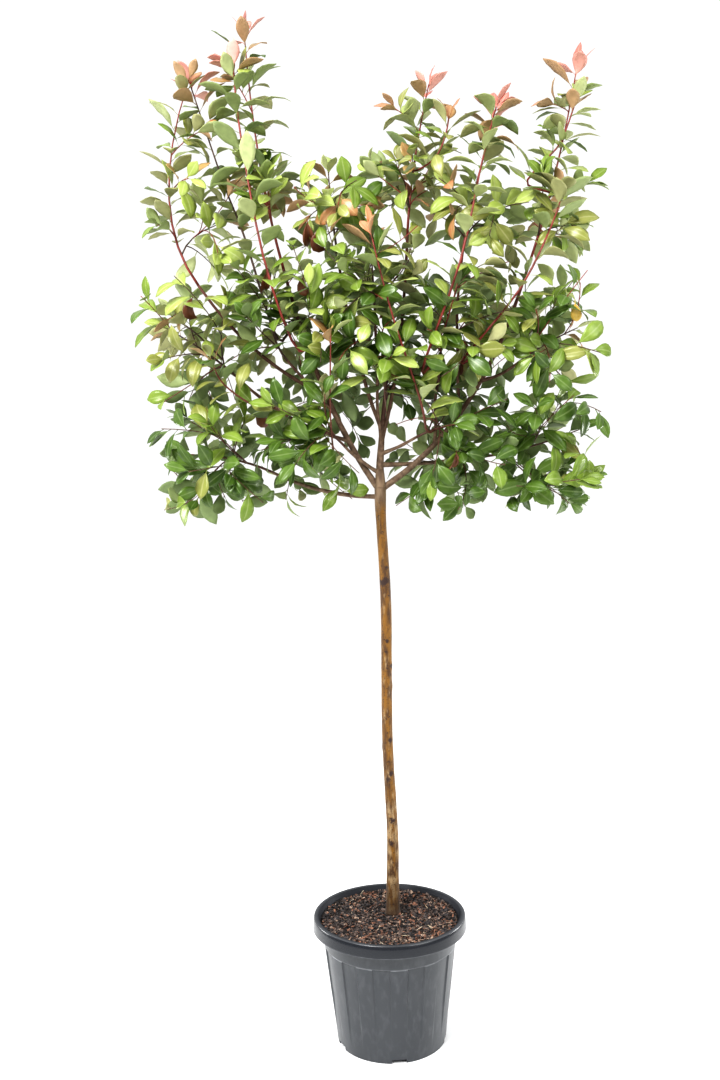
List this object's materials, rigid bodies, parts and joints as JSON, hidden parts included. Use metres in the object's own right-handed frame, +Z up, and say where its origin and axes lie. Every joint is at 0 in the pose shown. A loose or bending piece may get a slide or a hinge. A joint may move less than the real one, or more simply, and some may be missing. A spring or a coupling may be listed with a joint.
{
  "type": "potted photinia red robin shrub",
  "caption": "Tall evergreen garden shrub with a bare straight stem, a wide flat crown of glossy green leaves with coral red young tips, growing in a ribbed nursery pot.",
  "frame": {"origin": "middle of the pot's flat underside", "axes": "+Z up along the stem, +X to the right along the crown's width as seen from its front, +Y through the crown's depth towards its back"},
  "size_m": [1.1376, 0.4118, 2.5554],
  "materials": {
    "pot_plastic": "dull dark grey moulded plastic, lightly scuffed",
    "soil_mulch": "moist dark brown bark and peat chips, matt",
    "trunk_bark": "ochre brown bark with darker knots, matt",
    "bough_bark": "grey brown young bark, matt",
    "foliage": "glossy leathery leaves, deep green with yellow green and coral red tips"
  },
  "bodies": {
    "root": {"pot": "pot_plastic", "soil": "soil_mulch", "trunk": "trunk_bark", "bough_centre": "bough_bark", "bough_left_main": "bough_bark", "bough_right_main": "bough_bark", "bough_left_low": "bough_bark", "bough_right_low": "bough_bark", "bough_left_inner": "bough_bark", "bough_right_inner": "bough_bark", "bough_left_far": "bough_bark", "bough_left_outer": "bough_bark", "bough_left_middle": "bough_bark", "bough_upright": "bough_bark", "bough_leader": "bough_bark", "bough_front": "bough_bark", "bough_right_middle": "bough_bark", "bough_right_upper": "bough_bark", "bough_right_outer": "bough_bark", "foliage_left_low": "foliage", "foliage_left_inner": "foliage", "foliage_centre_low": "foliage", "foliage_right_inner": "foliage", "foliage_right_low": "foliage", "foliage_left_outer": "foliage", "foliage_left_middle": "foliage", "foliage_centre_high": "foliage", "foliage_right_middle": "foliage", "foliage_right_outer": "foliage", "foliage_left_far": "foliage", "foliage_left_leader": "foliage", "foliage_upright": "foliage", "foliage_right_leader": "foliage", "foliage_right_shoot": "foliage", "foliage_right_far": "foliage"}
  },
  "joints": []
}
